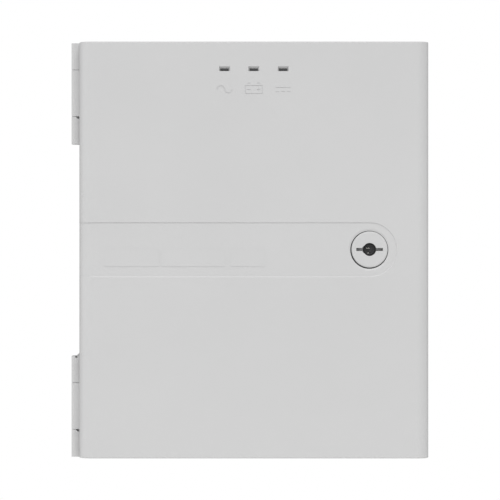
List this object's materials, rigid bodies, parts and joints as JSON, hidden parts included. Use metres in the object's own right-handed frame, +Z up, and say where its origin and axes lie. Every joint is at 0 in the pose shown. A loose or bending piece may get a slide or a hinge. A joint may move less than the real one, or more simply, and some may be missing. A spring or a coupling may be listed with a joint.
{
  "type": "wall cabinet power supply",
  "caption": "Wall cabinet with a side-hinged door, coin-slot lock and indicator windows, holding a battery-backed low-voltage power supply for a control system.",
  "frame": {"origin": "centre of the back mounting face, which lies against the wall", "axes": "+Z up, +Y into the wall, front facing -Y, +X to the right as seen from the front"},
  "size_m": [0.2582, 0.088, 0.3],
  "materials": {
    "battery_black": "black ABS",
    "capacitor_sleeve": "shrunk PVC sleeve",
    "chip_epoxy": "moulded epoxy",
    "circuit_board": "green solder mask on glass epoxy",
    "clear_shield": "clear polycarbonate",
    "coil_tape": "yellow polyester tape",
    "copper_wire": "enamelled copper wire",
    "dark_nylon": "black nylon",
    "ferrite": "dark ferrite",
    "ferrite_green": "green powder-coated ferrite",
    "fuse_glass": "clear glass",
    "grommet_rubber": "matt rubber",
    "header_plastic": "natural nylon",
    "heat_sink_alloy": "extruded aluminium",
    "housing": "fine-textured moulded ABS, light grey",
    "lead_black": "PVC insulation",
    "lead_red": "PVC insulation",
    "led_lens": "tinted diffused epoxy",
    "lock_dark": "dark moulded plastic",
    "nickel": "nickel plate",
    "smoked_lens": "smoked acrylic",
    "spade_sleeve": "translucent nylon sleeve",
    "steel": "zinc-plated steel",
    "terminal_plastic": "green nylon",
    "trimmer_blue": "blue plastic",
    "trimmer_white": "white plastic",
    "zinc_plate": "bright zinc plate"
  },
  "bodies": {
    "cabinet": {"back_box": "housing", "battery_case": "battery_black", "battery_header": "header_plastic", "battery_lead_black": "lead_black", "battery_lead_red": "lead_red", "battery_lid": "battery_black", "battery_strap": "zinc_plate", "battery_terminals": "nickel", "board_screws": "steel", "bulk_capacitor": "capacitor_sleeve", "cable_clamp": "dark_nylon", "choke_core": "ferrite_green", "choke_windings": "copper_wire", "clamp_screws": "steel", "control_chips": "chip_epoxy", "entry_grommet": "grommet_rubber", "fuse_caps": "nickel", "fuse_clips": "nickel", "fuse_tube": "fuse_glass", "heat_sink": "heat_sink_alloy", "lower_hinge_pin": "steel", "main_board": "circuit_board", "mains_shield": "clear_shield", "mains_terminal_block": "terminal_plastic", "output_capacitors": "capacitor_sleeve", "output_terminal_block": "terminal_plastic", "power_transistor": "chip_epoxy", "riser_board": "circuit_board", "riser_headers": "header_plastic", "spade_connectors": "spade_sleeve", "status_leds": "led_lens", "strap_screws": "steel", "tamper_switch_body": "dark_nylon", "terminal_screws": "steel", "transformer_coil": "coil_tape", "transformer_core": "ferrite", "transistor_screw": "steel", "trimmer_body": "trimmer_blue", "upper_hinge_pin": "steel"},
    "door": {"door": "housing", "lens_left": "smoked_lens", "lens_middle": "smoked_lens", "lens_right": "smoked_lens", "lock_bush": "dark_nylon"},
    "lock": {"lock_rotor": "housing", "lock_plug": "lock_dark", "lock_clip": "steel", "lock_cam": "zinc_plate", "cam_screw": "steel"},
    "trimmer": {"trimmer_rotor": "trimmer_white"},
    "tamper": {"tamper_plunger": "trimmer_white"}
  },
  "joints": [
    {"name": "door_hinge", "type": "hinge", "parent": "cabinet", "child": "door", "pos_m": [-0.1268, -0.064, 0], "axis": [0, 0, -1], "range_deg": [0, 120]},
    {"name": "lock_turn", "type": "hinge", "parent": "door", "child": "lock", "pos_m": [0.0834, -0.0855, 0.0004], "axis": [0, 1, 0], "range_deg": [0, 90]},
    {"name": "trimmer_turn", "type": "hinge", "parent": "cabinet", "child": "trimmer", "pos_m": [0.078, -0.017, 0.06], "axis": [0, 1, 0], "range_deg": [-135, 135]},
    {"name": "tamper_press", "type": "slide", "parent": "cabinet", "child": "tamper", "axis": [0, -1, 0], "range_m": [0, 0.003]}
  ],
  "couplings": [
    {"joint": "tamper_press", "follows": "door_hinge", "m_per_rad": 0.0014324}
  ]
}
